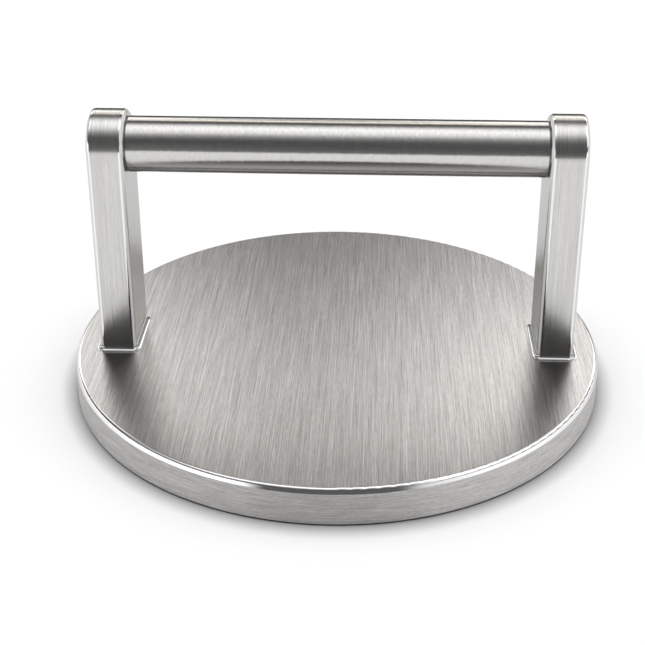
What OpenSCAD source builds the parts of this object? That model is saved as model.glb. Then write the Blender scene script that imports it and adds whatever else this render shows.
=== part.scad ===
// Round smash burger press: a thick steel plate, two flat-bar uprights welded to it
// and a tube handle screwed between them.
// The origin is the centre of the plate's working face, +Z points up through the
// handle, and the handle runs along X.

/* [Plate] */
// Diameter of the plate
plate_d = 155; // [150:1:200]
// Thickness of the plate
plate_t = 11; // [6:0.5:20]
// Height of the polished bevel round the top of the plate
bevel_rise = 1.4; // [0.8:0.1:3]
// How far the bevel runs in from the plate's rim
bevel_run = 0.6; // [0.3:0.1:1.5]
// Radius that blends the bevel into the top of the plate
bevel_blend_r = 1; // [0.3:0.1:1.5]
// Radius that eases the bottom edge of the plate
plate_bottom_r = 0.6; // [0.3:0.1:2]

/* [Uprights] */
// Distance from the plate's rim in to the outer face of each bar
bar_inset = 8; // [5:0.5:14]
// Thickness of each flat bar, measured along the handle
bar_t = 10.5; // [7:0.5:11]
// Width of each flat bar, measured across the handle
bar_w = 20; // [18:0.5:28]
// Radius of the polished long edges of each bar
bar_edge_r = 1.3; // [0.4:0.1:2]
// Height of the handle's axis above the top of the plate
axis_h = 61.5; // [45:0.5:90]

/* [Foot welds] */
// How far the dressed weld runs out over the plate
weld_run = 1.2; // [1:0.1:2.5]
// How far the dressed weld climbs up the bar
weld_rise = 1.2; // [0.8:0.1:2]
// Depth of the hollow that dressing leaves in the weld, as a share of the flat weld's depth
weld_hollow_share = 0.41; // [0.1:0.01:0.41]
// Thickness left at both toes of the weld
weld_toe = 0.1; // [0.05:0.05:0.3]

/* [Handle tube] */
// Outside diameter of the tube
tube_d = 16; // [14:0.5:18]
// Wall thickness of the tube
tube_wall = 1.5; // [1:0.1:2]
// Chamfer that breaks the outer corner at each end of the tube
tube_chamfer = 0.4; // [0.2:0.1:0.8]

/* [Tube plugs] */
// Solid floor of each plug behind its threaded bore
plug_floor = 4; // [2:0.5:10]
// Clearance all round between a plug and the tube's bore
plug_gap = 0.05; // [0.02:0.01:0.2]
// Chamfer at both ends of a plug
plug_chamfer = 0.5; // [0.2:0.1:1]

/* [Handle screws] */
// Thread diameter of each countersunk screw
screw_d = 6; // [5:0.5:6]
// Overall length of each screw, head included
screw_len = 22; // [18:1:26]
// Diameter across a screw's head
head_d = 12; // [11:0.5:13]
// Straight rim of a screw's head
head_rim = 0.4; // [0.2:0.1:0.8]
// Width across the flats of the hexagon socket
socket_w = 4; // [3:0.5:4]
// Depth of the hexagon socket
socket_depth = 2.2; // [1.5:0.1:2.6]
// Thread pitch
thread_pitch = 1; // [0.8:0.1:1.2]
// Radial depth of the thread's grooves
thread_depth = 0.5; // [0.3:0.05:0.6]
// Clearance all round between the thread and the plug's bore
thread_gap = 0.05; // [0.02:0.01:0.15]
// Clearance all round between a screw's thread and the bar's hole
hole_gap = 0.25; // [0.1:0.05:0.5]
// Clearance all round between a screw's head and its countersink
seat_gap = 0.05; // [0.02:0.01:0.1]
// How far a screw's head lies below the bar's outer face
head_sink = 0.2; // [0.1:0.1:0.6]

/* [Hidden] */

// Facets of a full circle
$fn = 96;
// Overrun of every cut past the surface that it opens
cut = 1;
// What a turned edge's arc stands off tangency, so that it crosses both faces cleanly
arc_lift = 0.001;
// Directions of the two sides along X
left = -1;
right = 1;
// Distance between the inner faces of the two bars, which is the grip's length
grip_len = plate_d - 2 * (bar_inset + bar_t);
// Place of the handle's axis above the working face
axis_z = plate_t + axis_h;
// Middle of a bar's thickness, out from the plate's centre
bar_mid = grip_len / 2 + bar_t / 2;
// Bore of the handle tube
tube_bore = tube_d - 2 * tube_wall;
// Depth of the cone under a screw's head, which closes at 90 degrees
head_cone = (head_d - screw_d) / 2;
// Length of the screw that carries thread
thread_len = screw_len - head_rim - head_cone;
// Blind depth that the plug's bore leaves past the screw's tip
bore_spare = 2 * thread_pitch;
// Depth of a plug's threaded bore from the end that meets the bar
plug_bore_len = screw_len + head_sink - bar_t + bore_spare;
// Overall length of a plug
plug_len = plug_bore_len + plug_floor;

// Plan of a flat bar with its rounded long edges
module bar_plan() {
    half_t = bar_t / 2 - bar_edge_r;
    half_w = bar_w / 2 - bar_edge_r;
    square([bar_t, 2 * half_w], center = true);
    square([2 * half_t, bar_w], center = true);
    for (x = [-half_t, half_t], y = [-half_w, half_w])
        translate([x, y]) circle(bar_edge_r);
}

// The part of a bar's plan on one side of its middle line, turned so that
// the middle line becomes the axis of the rounded top
module bar_half_plan() {
    intersection() {
        rotate(90) bar_plan();
        translate([0, -bar_t]) square([bar_w, 2 * bar_t]);
    }
}

// Hole for a handle screw: countersunk from the bar's outer face, along -X
module screw_hole() {
    hole_d = screw_d + 2 * hole_gap;
    sink_d = head_d + 2 * seat_gap;
    sink_deep = (sink_d - hole_d) / 2;
    rim_deep = head_sink + head_rim;
    translate([bar_t / 2, 0, axis_z]) rotate([0, -90, 0]) {
        translate([0, 0, -cut]) cylinder(d = hole_d, h = bar_t + 2 * cut);
        translate([0, 0, -cut]) cylinder(d = sink_d, h = rim_deep + cut);
        translate([0, 0, rim_deep]) cylinder(d1 = sink_d, d2 = hole_d, h = sink_deep);
    }
}

// Upright for the right side, its outer face towards +X
module upright_right() {
    difference() {
        union() {
            translate([0, 0, plate_t]) linear_extrude(axis_h) bar_plan();
            translate([0, 0, axis_z]) rotate([90, 0, 90])
                rotate_extrude(angle = 180) bar_half_plan();
        }
        screw_hole();
    }
}

// Section of the dressed weld: a corner of run by rise with a hollow taken out of it,
// which is an arc from toe to toe
module weld_section() {
    across = [weld_run - weld_toe, weld_rise - weld_toe];
    chord = norm(across);
    depth = across[0] * across[1] / chord;
    hollow = weld_hollow_share * depth;
    r = hollow / 2 + chord * chord / (8 * hollow);
    middle = [(weld_run + weld_toe) / 2, (weld_rise + weld_toe) / 2];
    difference() {
        square([weld_run, weld_rise]);
        translate(middle + (r - hollow) / chord * [across[1], across[0]]) circle(r);
    }
}

// Weld round a bar's foot: a straight bead along each face and a turn at each edge
module foot_weld() {
    half_t = bar_t / 2 - bar_edge_r;
    half_w = bar_w / 2 - bar_edge_r;
    corners = [[half_t, half_w], [-half_t, half_w], [-half_t, -half_w], [half_t, -half_w]];
    for (i = [0:3]) {
        along = i % 2 == 0 ? 2 * half_w : 2 * half_t;
        translate([corners[i][0], corners[i][1], plate_t]) rotate(90 * i) {
            rotate_extrude(angle = 90) translate([bar_edge_r, 0]) weld_section();
            translate([bar_edge_r, 0, 0]) rotate([90, 0, 0])
                linear_extrude(along) weld_section();
        }
    }
}

// Tube with chamfered outer corners, along X
module tube() {
    r = tube_d / 2;
    bore_r = tube_bore / 2;
    half = grip_len / 2;
    rotate([0, 90, 0]) rotate_extrude() polygon([
        [bore_r, -half], [r - tube_chamfer, -half], [r, -half + tube_chamfer],
        [r, half - tube_chamfer], [r - tube_chamfer, half], [bore_r, half]
    ]);
}

// Plug for the right end of the tube, its open end towards +X
module plug_right() {
    r = tube_bore / 2 - plug_gap;
    hole_r = screw_d / 2 + thread_gap;
    rotate([0, -90, 0]) difference() {
        rotate_extrude() polygon([
            [0, 0], [r - plug_chamfer, 0], [r, plug_chamfer],
            [r, plug_len - plug_chamfer], [r - plug_chamfer, plug_len], [0, plug_len]
        ]);
        translate([0, 0, -cut]) cylinder(r = hole_r, h = plug_bore_len + cut);
    }
}

// Screw for the right side: its head's flat towards +X, its tip towards -X
module screw_right() {
    r = screw_d / 2;
    turns = floor(thread_len / thread_pitch) - 1;
    first = head_rim + head_cone + thread_pitch / 2;
    grooves = [
        for (i = [0:turns - 1], step = [[0, 0], [thread_depth, 1 / 2]])
            [r - step[0], first + (i + step[1]) * thread_pitch]
    ];
    rotate([0, -90, 0]) difference() {
        rotate_extrude() polygon(concat(
            [[0, 0], [head_d / 2, 0], [head_d / 2, head_rim], [r, head_rim + head_cone]],
            grooves,
            [[r, first + turns * thread_pitch], [r - thread_depth, screw_len], [0, screw_len]]
        ));
        translate([0, 0, -cut])
            cylinder(d = socket_w / cos(30), h = socket_depth + cut, $fn = 6);
    }
}

// Puts what is drawn for the right side on the given side
module on_side(side, x = 0, z = 0) {
    mirror([side == left ? 1 : 0, 0, 0]) translate([x, 0, z]) children();
}

// What rounding takes off an outer corner where a level face turns down by an angle,
// seen from the centre of the rounding
module corner_waste(r, turn) {
    far = r + cut;
    difference() {
        polygon([
            [0, 0], [0, far],
            far / cos(turn / 2) * [sin(turn / 2), cos(turn / 2)],
            far * [sin(turn), cos(turn)]
        ]);
        circle(r + arc_lift);
    }
}

module base_plate() {
    r = plate_d / 2;
    bevel_turn = 90 - atan(bevel_run / bevel_rise);
    blend_run = bevel_blend_r * tan(bevel_turn / 2);
    color([0.74, 0.74, 0.73]) rotate_extrude() difference() {
        polygon([
            [0, 0], [r, 0], [r, plate_t - bevel_rise], [r - bevel_run, plate_t], [0, plate_t]
        ]);
        translate([r - bevel_run - blend_run, plate_t - bevel_blend_r])
            corner_waste(bevel_blend_r, bevel_turn);
        translate([r - plate_bottom_r, plate_bottom_r])
            mirror([0, 1]) corner_waste(plate_bottom_r, 90);
    }
}

module left_upright() {
    color([0.78, 0.78, 0.77]) on_side(left, bar_mid) upright_right();
}

module right_upright() {
    color([0.78, 0.78, 0.77]) on_side(right, bar_mid) upright_right();
}

module left_foot_weld() {
    color([0.86, 0.86, 0.86]) on_side(left, bar_mid) foot_weld();
}

module right_foot_weld() {
    color([0.86, 0.86, 0.86]) on_side(right, bar_mid) foot_weld();
}

module handle_tube() {
    color([0.72, 0.72, 0.71]) translate([0, 0, axis_z]) tube();
}

module left_tube_plug() {
    color([0.66, 0.66, 0.65]) on_side(left, grip_len / 2, axis_z) plug_right();
}

module right_tube_plug() {
    color([0.66, 0.66, 0.65]) on_side(right, grip_len / 2, axis_z) plug_right();
}

module left_handle_screw() {
    color([0.6, 0.6, 0.6])
        on_side(left, grip_len / 2 + bar_t - head_sink, axis_z) screw_right();
}

module right_handle_screw() {
    color([0.6, 0.6, 0.6])
        on_side(right, grip_len / 2 + bar_t - head_sink, axis_z) screw_right();
}

base_plate();
left_upright();
right_upright();
left_foot_weld();
right_foot_weld();
handle_tube();
left_tube_plug();
right_tube_plug();
left_handle_screw();
right_handle_screw();
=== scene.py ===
import math

import bpy
from mathutils import Matrix, Vector


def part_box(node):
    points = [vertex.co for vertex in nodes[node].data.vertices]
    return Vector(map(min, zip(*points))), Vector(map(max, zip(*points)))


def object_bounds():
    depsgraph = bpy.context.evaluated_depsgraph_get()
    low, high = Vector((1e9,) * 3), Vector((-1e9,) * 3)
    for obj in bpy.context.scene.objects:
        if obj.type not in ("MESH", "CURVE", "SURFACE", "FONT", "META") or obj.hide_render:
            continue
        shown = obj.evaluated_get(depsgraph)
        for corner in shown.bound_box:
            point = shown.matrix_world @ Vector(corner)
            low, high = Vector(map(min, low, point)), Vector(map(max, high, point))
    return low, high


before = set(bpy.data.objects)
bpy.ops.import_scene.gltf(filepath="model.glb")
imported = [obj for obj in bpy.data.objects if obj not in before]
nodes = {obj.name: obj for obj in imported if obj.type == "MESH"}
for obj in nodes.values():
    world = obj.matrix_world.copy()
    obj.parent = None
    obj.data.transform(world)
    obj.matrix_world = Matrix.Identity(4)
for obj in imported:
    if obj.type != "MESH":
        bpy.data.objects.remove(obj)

cad_low, cad_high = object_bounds()

# Heights read from the frame, in metres
plate_low, plate_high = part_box("base_plate")
plate_bottom = plate_low[2]
plate_top = plate_high[2]

# The plate's edges as part.scad makes them, in metres: the bevel round its top, the blend
# of the bevel into the top, and the eased edge at its bottom
BEVEL_RISE = 0.0014
BEVEL_RUN = 0.0006
BEVEL_BLEND_R = 0.001
PLATE_BOTTOM_R = 0.0006
# Points this near the height of a flat face belong to that face
HAIR = 0.000001

# Camera that took the photograph, in pixels, millimetres, metres and degrees
PICTURE_PX = 645
FOCAL_PX = 1321.4
SENSOR = 36.0
CAMERA_DISTANCE = 0.3854
CAMERA_AZIMUTH = 2.75
CAMERA_ELEVATION = 25.25
CAMERA_ROLL = -0.2
CAMERA_TARGET = Vector((-0.00415, 0.0, 0.04171))
CAMERA_SHIFT_Y = -0.12
CLIP_START, CLIP_END = 0.01, 20.0


def add_camera():
    """Camera at the photograph's angle, aimed at the middle of the press."""
    azimuth, elevation = math.radians(CAMERA_AZIMUTH), math.radians(CAMERA_ELEVATION)
    back = Vector((
        math.sin(azimuth) * math.cos(elevation),
        -math.cos(azimuth) * math.cos(elevation),
        math.sin(elevation),
    ))
    data = bpy.data.cameras.new("camera")
    data.sensor_width = SENSOR
    data.lens = FOCAL_PX * SENSOR / PICTURE_PX
    data.shift_y = CAMERA_SHIFT_Y
    data.clip_start, data.clip_end = CLIP_START, CLIP_END
    camera = bpy.data.objects.new("camera", data)
    bpy.context.scene.collection.objects.link(camera)
    camera.rotation_mode = "QUATERNION"
    camera.location = CAMERA_TARGET + back * CAMERA_DISTANCE
    turn = Matrix.Rotation(math.radians(CAMERA_ROLL), 3, "Z").to_quaternion()
    camera.rotation_quaternion = (-back).to_track_quat("-Z", "Y") @ turn
    bpy.context.scene.camera = camera


def varies(value):
    """Whether a value comes from a node, and so may differ from place to place."""
    return isinstance(value, bpy.types.NodeSocket)


def grey(value):
    return (value, value, value, 1.0)


class Net:
    """Builds one node tree. A value may be a number, a vector or another node's socket."""

    # Sockets of the Mix node for each kind of value: first, second and result
    MIX = {"FLOAT": (2, 3, 0), "VECTOR": (4, 5, 1), "RGBA": (6, 7, 2)}

    def __init__(self, tree):
        self.tree = tree
        tree.nodes.clear()

    def node(self, kind, inputs=None, **settings):
        made = self.tree.nodes.new(kind)
        for name, value in settings.items():
            setattr(made, name, value)
        for key, value in (inputs or {}).items():
            self.put(made.inputs[key], value)
        return made

    def put(self, socket, value):
        if varies(value):
            self.tree.links.new(value, socket)
        else:
            socket.default_value = value

    def math(self, operation, a, b=0.0):
        return self.node("ShaderNodeMath", {0: a, 1: b}, operation=operation).outputs[0]

    def product(self, *factors):
        total = factors[0]
        for factor in factors[1:]:
            total = self.math("MULTIPLY", total, factor)
        return total

    def between(self, value, low, high):
        """1 where the value is between low and high, 0 elsewhere."""
        above = self.math("GREATER_THAN", value, low)
        return self.math("MULTIPLY", above, self.math("LESS_THAN", value, high))

    def vector(self, operation, a, b=(0.0, 0.0, 0.0)):
        return self.node("ShaderNodeVectorMath", {0: a, 1: b}, operation=operation).outputs[0]

    def scale(self, vector, factor):
        made = self.node("ShaderNodeVectorMath", {0: vector, "Scale": factor}, operation="SCALE")
        return made.outputs[0]

    def split(self, vector):
        return self.node("ShaderNodeSeparateXYZ", {0: vector}).outputs

    def join(self, x, y, z):
        return self.node("ShaderNodeCombineXYZ", {0: x, 1: y, 2: z}).outputs[0]

    def mix(self, factor, a, b, kind="FLOAT"):
        first, second, result = self.MIX[kind]
        made = self.node("ShaderNodeMix", {0: factor, first: a, second: b}, data_type=kind)
        return made.outputs[result]

    def rise(self, value, low, high, shape="SMOOTHSTEP"):
        """0 below low, 1 above high, in between smooth or straight."""
        inputs = {"Value": value, "From Min": low, "From Max": high}
        return self.node("ShaderNodeMapRange", inputs, interpolation_type=shape).outputs[0]

    def noise(self, vector):
        """Noise about zero, one cell to a unit of the vector."""
        inputs = {"Vector": vector, "Scale": 1.0, "Detail": 1.0}
        return self.math("SUBTRACT", self.node("ShaderNodeTexNoise", inputs).outputs[0], 0.5)

    def cells(self, place, width, length):
        """A place counted in cells as wide and long as a brush line."""
        return self.vector("MULTIPLY", place, (1 / width, 1 / length, 1 / length))

    def ramp(self, value, stops):
        made = self.node("ShaderNodeValToRGB", {0: value})
        elements = made.color_ramp.elements
        while len(elements) < len(stops):
            elements.new(0.5)
        for element, (place, color) in zip(elements, stops):
            element.position = place
            element.color = (*color, 1.0)
        return made.outputs[0]


# Half of the floor's side: past it the metal sees the flags that stand round the studio
FLOOR_HALF = 0.5
# The floor lies this far under the working face
FLOOR_DROP = 0.00002
FLOOR_COLOR = (0.98, 0.98, 0.98)
# Painted shade of contact, put into the floor's colour: how far it reaches from the press, and how
# deep it is
CONTACT_REACH = 0.006
CONTACT_POWER = 1.1
CONTACT_SAMPLES = 16


def add_floor():
    """Pale floor that keeps the soft shadow of the press, with painted shade darkening its colour
    near the press, deepest where they touch.
    """
    mesh = bpy.data.meshes.new("floor")
    z = cad_low[2] - FLOOR_DROP
    corners = ((-1, -1), (1, -1), (1, 1), (-1, 1))
    mesh.from_pydata([(x * FLOOR_HALF, y * FLOOR_HALF, z) for x, y in corners], [], [(0, 1, 2, 3)])
    floor = bpy.data.objects.new("floor", mesh)
    bpy.context.scene.collection.objects.link(floor)
    material = bpy.data.materials.new("floor")
    material.use_nodes = True
    net = Net(material.node_tree)
    # Ambient occlusion darkens the floor's colour near the press: painted contact shade
    near = net.node(
        "ShaderNodeAmbientOcclusion", {"Distance": CONTACT_REACH}, samples=CONTACT_SAMPLES
    )
    tone = net.math("POWER", near.outputs["AO"], CONTACT_POWER)
    shader = net.node("ShaderNodeBsdfDiffuse", {"Color": net.scale(FLOOR_COLOR, tone)})
    net.node("ShaderNodeOutputMaterial", {"Surface": shader.outputs[0]})
    mesh.materials.append(material)


# The studio's light by its place on an arc over the press, in degrees from the horizon
# in front, through 90 overhead, to the horizon behind. MIDDLE is the light on the arc
# over the middle, WINGS the light further out to both sides, and they share OVERHEAD.
OVERHEAD = (
    (0, 0.14), (4, 0.09), (38, 0.10), (46, 0.18), (57, 0.42), (64, 0.80), (70, 1.10), (77, 1.35),
    (90, 1.60), (96, 1.50), (101, 1.25), (107, 0.80), (112, 0.38), (117, 0.16), (122, 0.08),
    (128, 0.08), (132, 0.60), (136, 1.75), (138.5, 2.00),
)
MIDDLE = OVERHEAD + (
    (141, 0.25), (144, 0.05), (154, 0.08), (157, 0.30), (161, 0.30), (166, 0.10), (180, 0.03),
)
WINGS = OVERHEAD + (
    (141, 0.75), (144, 0.55), (146, 1.75), (148, 3.55), (150, 3.65), (152, 2.80), (154, 2.00),
    (157, 0.70), (161, 0.28), (166, 0.10), (180, 0.03),
)
ARC_SPAN = 180
# Light far out to the left and right, in degrees above the horizon
LEFT = ((0, 1.6), (9, 1.6), (14, 1.1), (17.5, 0.08), (40, 0.08), (48, 0.8), (90, 0.8))
RIGHT = ((0, 1.4), (6, 1.4), (10, 0.5), (12, 0.08), (20, 0.08), (26, 1.4), (90, 1.5))
HEIGHT_SPAN = 90
# The light behind is warm from the first of these degrees to the second, then faintly
# warm to the third
WARM_FROM, WARM_TO, FAINT_TO = 130, 146, 160
WARM = (1.07, 1.0, 0.91)
FAINT = (1.015, 1.0, 0.98)
NEUTRAL = (1.0, 1.0, 1.0)
# How far a direction points left or right, as x of its unit vector: MIDDLE gives way to
# WINGS over WING_X, measured from MIDDLE_X, and both give way to the sides over SIDE_X
MIDDLE_X = -0.050
WING_X = (0.03, 0.14)
SIDE_X = (0.42, 0.60)
# Strength of the plain white that diffuse surfaces see instead
FLOOR_LIGHT = 1.1


def by_degrees(bands, span):
    """Ramp stops from brightness by degree."""
    stops = []
    for degree, bright in bands:
        tint = NEUTRAL
        if WARM_FROM < degree < FAINT_TO:
            tint = WARM if degree < WARM_TO else FAINT
        stops.append((degree / span, [bright * part for part in tint]))
    return stops


def add_studio():
    """White background; in reflections a soft box overhead and dark flags round it."""
    world = bpy.data.worlds.new("studio")
    bpy.context.scene.world = world
    world.use_nodes = True
    world.cycles.sampling_method = "NONE"
    net = Net(world.node_tree)
    x, y, z = net.split(net.node("ShaderNodeTexCoord").outputs["Generated"])
    arc = net.math("DIVIDE", net.math("ARCTAN2", z, net.math("MULTIPLY", y, -1.0)), math.pi)
    middle = net.ramp(arc, by_degrees(MIDDLE, ARC_SPAN))
    wings = net.ramp(arc, by_degrees(WINGS, ARC_SPAN))
    aside = net.math("ABSOLUTE", net.math("SUBTRACT", x, MIDDLE_X))
    over = net.mix(net.rise(aside, *WING_X, "LINEAR"), middle, wings, "RGBA")
    height = net.math("DIVIDE", net.math("ARCSINE", z), math.pi / 2)
    left = net.ramp(height, by_degrees(LEFT, HEIGHT_SPAN))
    right = net.ramp(height, by_degrees(RIGHT, HEIGHT_SPAN))
    sides = net.mix(net.math("GREATER_THAN", x, 0.0), left, right, "RGBA")
    room = net.mix(net.rise(net.math("ABSOLUTE", x), *SIDE_X), over, sides, "RGBA")
    path = net.node("ShaderNodeLightPath").outputs
    color = net.mix(path["Is Glossy Ray"], grey(1.0), room, "RGBA")
    strength = net.mix(path["Is Diffuse Ray"], 1.0, FLOOR_LIGHT)
    background = net.node("ShaderNodeBackground", {"Color": color, "Strength": strength})
    net.node("ShaderNodeOutputWorld", {"Surface": background.outputs[0]})


# Layers of brush lines: width and length of a line in metres, and its share of the tone.
# The first layer also leans the surface across and along the grain.
LINES = ((0.00012, 0.020, 1.0), (0.0007, 0.040, 0.05), (0.00015, 0.003, 0.50))
SPECKS = ((0.00020, 0.0012, 1.0), (0.0006, 0.005, 0.20))
# Steps to other parts of the noise, so that lean and bend don't follow the tone
LEAN_STEP = (31.7, 4.9, 12.3)
BEND_STEP = (71.3, 8.1, 43.9)
POLISHED_COLOR = 0.84
POLISHED_ROUGH = 0.12
# Pale matte grey of the painted highlight along the bars' edges
HIGHLIGHT_PAINT_COLOR = 0.60
# What a grain function may leave out: polished and painted highlight nowhere, otherwise as its
# steel is
PLAIN = {"polish": 0.0, "painted_highlight": 0.0, "rougher": 1.0, "painted_shading": 1.0}


def steel(name, grain, color, rough, aniso, tone, edge=1.0, lean=0.10, bend=0.05, lines=LINES):
    """Brushed steel. grain(net, position, normal) gives the directions across and along
    the grain and the place measured that way. It may also give how far the steel is
    polished bright instead, from 0 to 1, how much of the polished steel is a painted highlight,
    a pale matte grey that scatters the light all round, what the roughness and the colour are
    multiplied by, the colour's factor carrying painted shading on the plate, and a truer normal
    than the mesh's."""
    material = bpy.data.materials.new(name)
    material.use_nodes = True
    net = Net(material.node_tree)
    position = net.node("ShaderNodeTexCoord").outputs["Object"]
    normal = net.node("ShaderNodeNewGeometry").outputs["Normal"]
    found = {**PLAIN, "normal": normal, **grain(net, position, normal)}
    across, along, place = found["across"], found["along"], found["place"]
    polish, painted_highlight = found["polish"], found["painted_highlight"]
    shade = 0.0
    for width, length, share in lines:
        layer = net.noise(net.cells(place, width, length))
        shade = net.math("ADD", shade, net.math("MULTIPLY", layer, share))
    level = net.product(net.math("ADD", 1.0, net.math("MULTIPLY", shade, tone)), found["painted_shading"])
    # The painted highlight turns polished steel into a pale matte grey
    shine = net.mix(painted_highlight, grey(POLISHED_COLOR), grey(HIGHLIGHT_PAINT_COLOR), "RGBA")
    paint = net.mix(polish, net.scale(color, level), shine, "RGBA")
    width, length = lines[0][:2]
    first = net.cells(place, width, length)
    leans = net.noise(net.vector("ADD", first, LEAN_STEP))
    bends = net.noise(net.vector("ADD", first, BEND_STEP))
    brushed = net.math("SUBTRACT", 1.0, polish)
    tilt = net.vector(
        "ADD",
        net.scale(across, net.product(leans, brushed, lean)),
        net.scale(along, net.product(bends, brushed, bend)),
    )
    roughness = rough
    if varies(polish):
        brushed_rough = net.math("MULTIPLY", found["rougher"], rough)
        roughness = net.mix(polish, brushed_rough, POLISHED_ROUGH)
    # The painted highlight is not metal, so it shows bright from every side
    metallic = net.math("SUBTRACT", 1.0, painted_highlight) if varies(painted_highlight) else 1.0
    shader = net.node("ShaderNodeBsdfPrincipled", {
        "Base Color": paint,
        "Metallic": metallic,
        "Roughness": roughness,
        "Specular Tint": grey(edge),
        "Anisotropic": aniso,
        "Tangent": across,
        "Normal": net.vector("NORMALIZE", net.vector("ADD", found["normal"], tilt)),
    })
    net.node("ShaderNodeOutputMaterial", {"Surface": shader.outputs[0]})
    return material


# A face looks along an axis where that part of its normal is above this
FACING = 0.7

# The rim is rougher than the top and paler, its colour raised back over the plate's painted shade,
# and its lines are shorter
RIM_ROUGHER = 2.3
RIM_PALER = 1.68
RIM_SHORTER = 2.5
# The eased edge at the bottom is darkened with painted shade
BOTTOM_PAINTED_SHADE = 0.3


def bevel_normal(net, x, y, z):
    """True normal of the bevel round the plate, which blends into its top."""
    slope = BEVEL_RUN / math.hypot(BEVEL_RUN, BEVEL_RISE)
    below = net.math("DIVIDE", net.math("SUBTRACT", plate_top, z), BEVEL_BLEND_R)
    up = net.math("MAXIMUM", net.math("SUBTRACT", 1.0, below), slope)
    out = net.math("SQRT", net.math("SUBTRACT", 1.0, net.math("MULTIPLY", up, up)))
    outward = net.vector("NORMALIZE", net.join(x, y, 0.0))
    return net.vector("ADD", net.scale(outward, out), net.scale((0, 0, 1), up))


def plate_grain(net, position, normal):
    """Top and underside straight along Y, rim round the plate, bevel polished."""
    x, y, z = net.split(position)
    flat = net.math("GREATER_THAN", net.math("ABSOLUTE", net.split(normal)[2]), FACING)
    around = net.vector("NORMALIZE", net.vector("CROSS_PRODUCT", (0, 0, 1), normal))
    across = net.mix(flat, (0, 0, 1), (1, 0, 0), "VECTOR")
    along = net.mix(flat, around, (0, 1, 0), "VECTOR")
    rim_place = net.vector("MULTIPLY", net.join(z, x, y), (1.0, RIM_SHORTER, RIM_SHORTER))
    place = net.mix(flat, rim_place, position, "VECTOR")
    bevel = net.between(z, plate_top - BEVEL_RISE, plate_top - HAIR)
    bottom = net.between(z, plate_bottom + HAIR, plate_bottom + PLATE_BOTTOM_R)
    rougher = net.mix(flat, RIM_ROUGHER, 1.0)
    # Colour factor: the rim paler, and painted shade on the eased bottom edge
    painted_shading = net.mix(bottom, net.mix(flat, RIM_PALER, 1.0), BOTTOM_PAINTED_SHADE)
    normal = net.mix(bevel, normal, bevel_normal(net, x, y, z), "VECTOR")
    return {"across": across, "along": along, "place": place, "polish": bevel,
            "rougher": rougher, "painted_shading": painted_shading, "normal": normal}


def plate_steel():
    # The plate's colour is far darker than the bars' steel: painted shade for the dim reflection
    # on its top
    return steel(
        "plate_steel", plate_grain, color=(0.386, 0.379, 0.374), rough=0.26, aniso=0.85,
        tone=1.1, edge=0.7,
    )


# The bars' edges by how far their normal leans sideways: polished, and a painted highlight
# along the middle, where this share of the light is scattered all round by pale matte paint
POLISHED_LEAN = (0.05, 0.93)
HIGHLIGHT_PAINT_LEAN = (0.40, 0.90)
HIGHLIGHT_PAINT_SHARE = 0.9


def bar_grain(net, position, normal):
    """Brushed lengthwise and over the round top, with the long edges polished and a painted
    highlight along them.
    """
    x, y, z = net.split(position)
    sideways = net.math("ABSOLUTE", net.split(normal)[0])
    wide = net.math("GREATER_THAN", sideways, FACING)
    over = net.vector("CROSS_PRODUCT", (1, 0, 0), normal)
    across = net.mix(wide, (1, 0, 0), (0, 1, 0), "VECTOR")
    along = net.mix(wide, over, (0, 0, 1), "VECTOR")
    place = net.mix(wide, position, net.join(y, z, x), "VECTOR")
    polish = net.between(sideways, *POLISHED_LEAN)
    painted_highlight = net.math("MULTIPLY", net.between(sideways, *HIGHLIGHT_PAINT_LEAN), HIGHLIGHT_PAINT_SHARE)
    return {"across": across, "along": along, "place": place, "polish": polish, "painted_highlight": painted_highlight}


def bar_steel():
    return steel(
        "bar_steel", bar_grain, color=(0.600, 0.593, 0.577), rough=0.25, aniso=0.40,
        tone=0.6, edge=0.75,
    )


def tube_grain(net, position, normal):
    """Brushed round the tube. The tangent counts only when linked, so a node makes it."""
    along = net.vector("CROSS_PRODUCT", (1, 0, 0), normal)
    return {"across": net.join(1.0, 0.0, 0.0), "along": along, "place": position}


def tube_steel():
    return steel(
        "tube_steel", tube_grain, color=(0.620, 0.613, 0.602), rough=0.22, aniso=0.8,
        tone=0.35, lean=0.03, bend=0.08, lines=SPECKS,
    )


def weld_grain(net, position, normal):
    """Dressed smooth all over."""
    return {"across": (1, 0, 0), "along": (0, 1, 0), "place": position}


def weld_steel():
    return steel(
        "weld_steel", weld_grain, color=(0.60, 0.60, 0.60), rough=0.16, aniso=0.0,
        tone=0.2, lean=0.0, bend=0.0, lines=SPECKS,
    )


def screw_steel():
    """Turned steel of the screws and plugs, plainer than the tube's."""
    return steel(
        "screw_steel", tube_grain, color=(0.615, 0.615, 0.615), rough=0.25, aniso=0.0, tone=0.9,
    )


def dress():
    """Gives every CAD node its steel."""
    plate = plate_steel()
    bar = bar_steel()
    tube = tube_steel()
    weld = weld_steel()
    screw = screw_steel()
    finishes = {
        "base_plate": plate,
        "left_upright": bar,
        "right_upright": bar,
        "left_foot_weld": weld,
        "right_foot_weld": weld,
        "handle_tube": tube,
        "left_tube_plug": screw,
        "right_tube_plug": screw,
        "left_handle_screw": screw,
        "right_handle_screw": screw,
    }
    for name, material in finishes.items():
        for slot in nodes[name].material_slots:
            slot.material = material


add_camera()
add_floor()
add_studio()
dress()
bpy.context.scene.view_settings.view_transform = "Standard"
